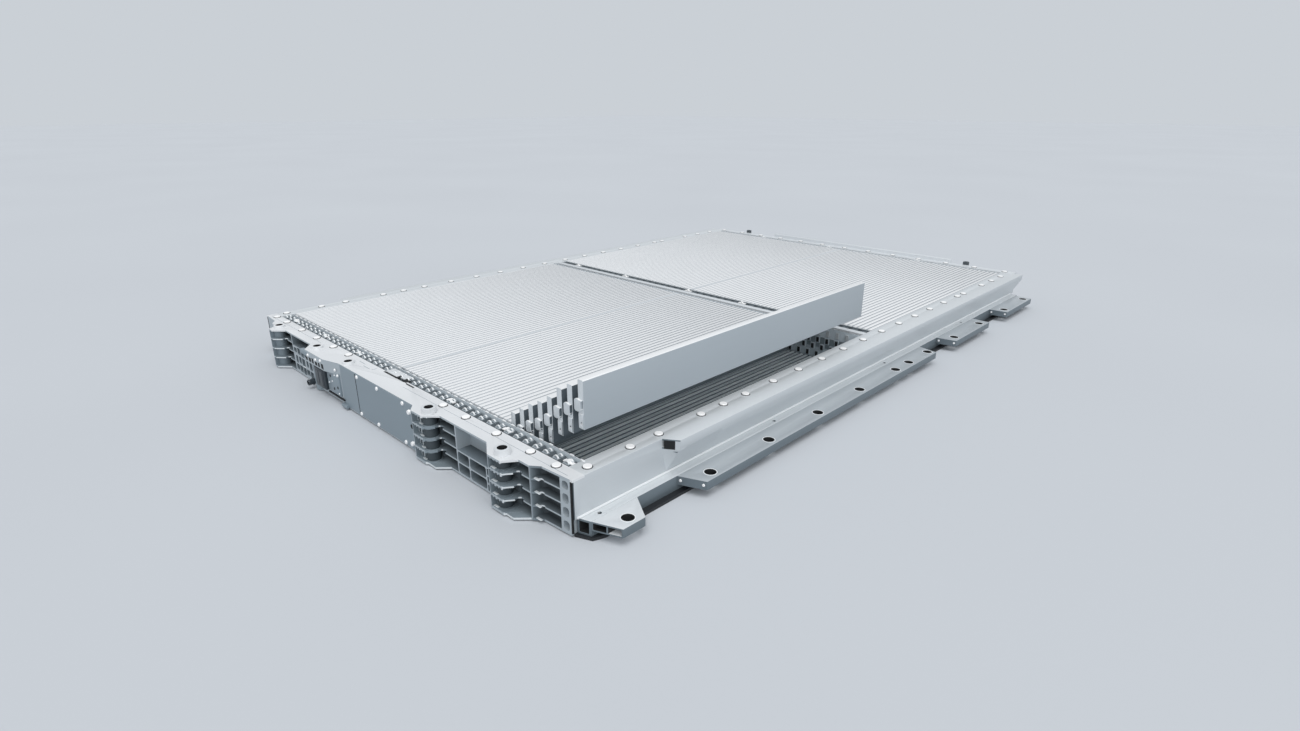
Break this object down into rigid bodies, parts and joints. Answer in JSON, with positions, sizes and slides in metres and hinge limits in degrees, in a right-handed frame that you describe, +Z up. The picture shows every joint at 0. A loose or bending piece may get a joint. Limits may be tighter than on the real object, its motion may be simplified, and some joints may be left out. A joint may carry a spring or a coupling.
{
  "type": "ev battery pack",
  "caption": "Flat traction battery pack for an electric car, lid off, with long blade cells in an extruded tray and some cells drawn up out of one bay.",
  "frame": {"origin": "centre of the box in X and Y, on the underside of the bottom guard", "axes": "+X to the right side with the open bay, +Y to the rear, +Z up"},
  "size_m": [1.524, 2.18, 0.256],
  "materials": {
    "guard": "matte black",
    "floor": "mill finish, dark",
    "ridge": "matte thermal compound",
    "pad": "matte thermal compound",
    "casting": "cast, bead blasted",
    "beam": "extruded, satin",
    "flange": "extruded, satin",
    "cell": "brushed can, satin",
    "carrier": "dark moulded",
    "busbar": "rolled copper alloy",
    "clip": "zinc plated",
    "lead": "plated strap",
    "bolt": "plated, semi gloss",
    "cover": "pressed sheet, satin",
    "sleeve": "plated",
    "connector": "black moulded",
    "stub": "black moulded",
    "bar": "extruded, satin",
    "contactor": "moulded",
    "fuse": "ceramic body",
    "board": "circuit board"
  },
  "bodies": {
    "root": {"bottom_guard": "guard", "floor_plate": "floor", "seat_ridges": "ridge", "thermal_pads": "pad", "front_end_casting": "casting", "rear_end_beam": "beam", "side_beam_right": "beam", "side_beam_left": "beam", "middle_crossbeam": "bar", "flange_tab_right": "flange", "flange_main_right": "flange", "flange_mid_right": "flange", "flange_rear_right": "flange", "flange_tab_left": "flange", "flange_main_left": "flange", "flange_mid_left": "flange", "flange_rear_left": "flange", "centre_bar_front": "bar", "centre_bar_rear": "bar", "cells_front_left": "cell", "cells_front_right": "cell", "cells_rear_left": "cell", "cells_rear_right": "cell", "lifted_cell_1": "cell", "lifted_cell_2": "cell", "lifted_cell_3": "cell", "lifted_cell_4": "cell", "lifted_cell_5": "cell", "lifted_cell_6": "cell", "lifted_cell_7": "cell", "lifted_cell_8": "cell", "carrier_front": "carrier", "carrier_middle_front": "carrier", "carrier_middle_rear": "carrier", "carrier_rear": "carrier", "busbars_front": "busbar", "busbars_middle_front": "busbar", "busbars_middle_rear": "busbar", "busbars_rear": "busbar", "carrier_clips": "clip", "main_lead_tab": "lead", "side_bolts_right": "bolt", "side_bolts_left": "bolt", "front_bolts": "bolt", "rear_bolts": "bolt", "cover_plate_wide": "cover", "cover_plate_narrow": "cover", "cover_screws": "bolt", "mounting_sleeves": "sleeve", "hv_connector": "connector", "coolant_stub": "stub", "rear_service_box": "beam", "rear_bosses": "casting", "contactors": "contactor", "main_fuse": "fuse", "monitor_board": "board"}
  },
  "joints": []
}
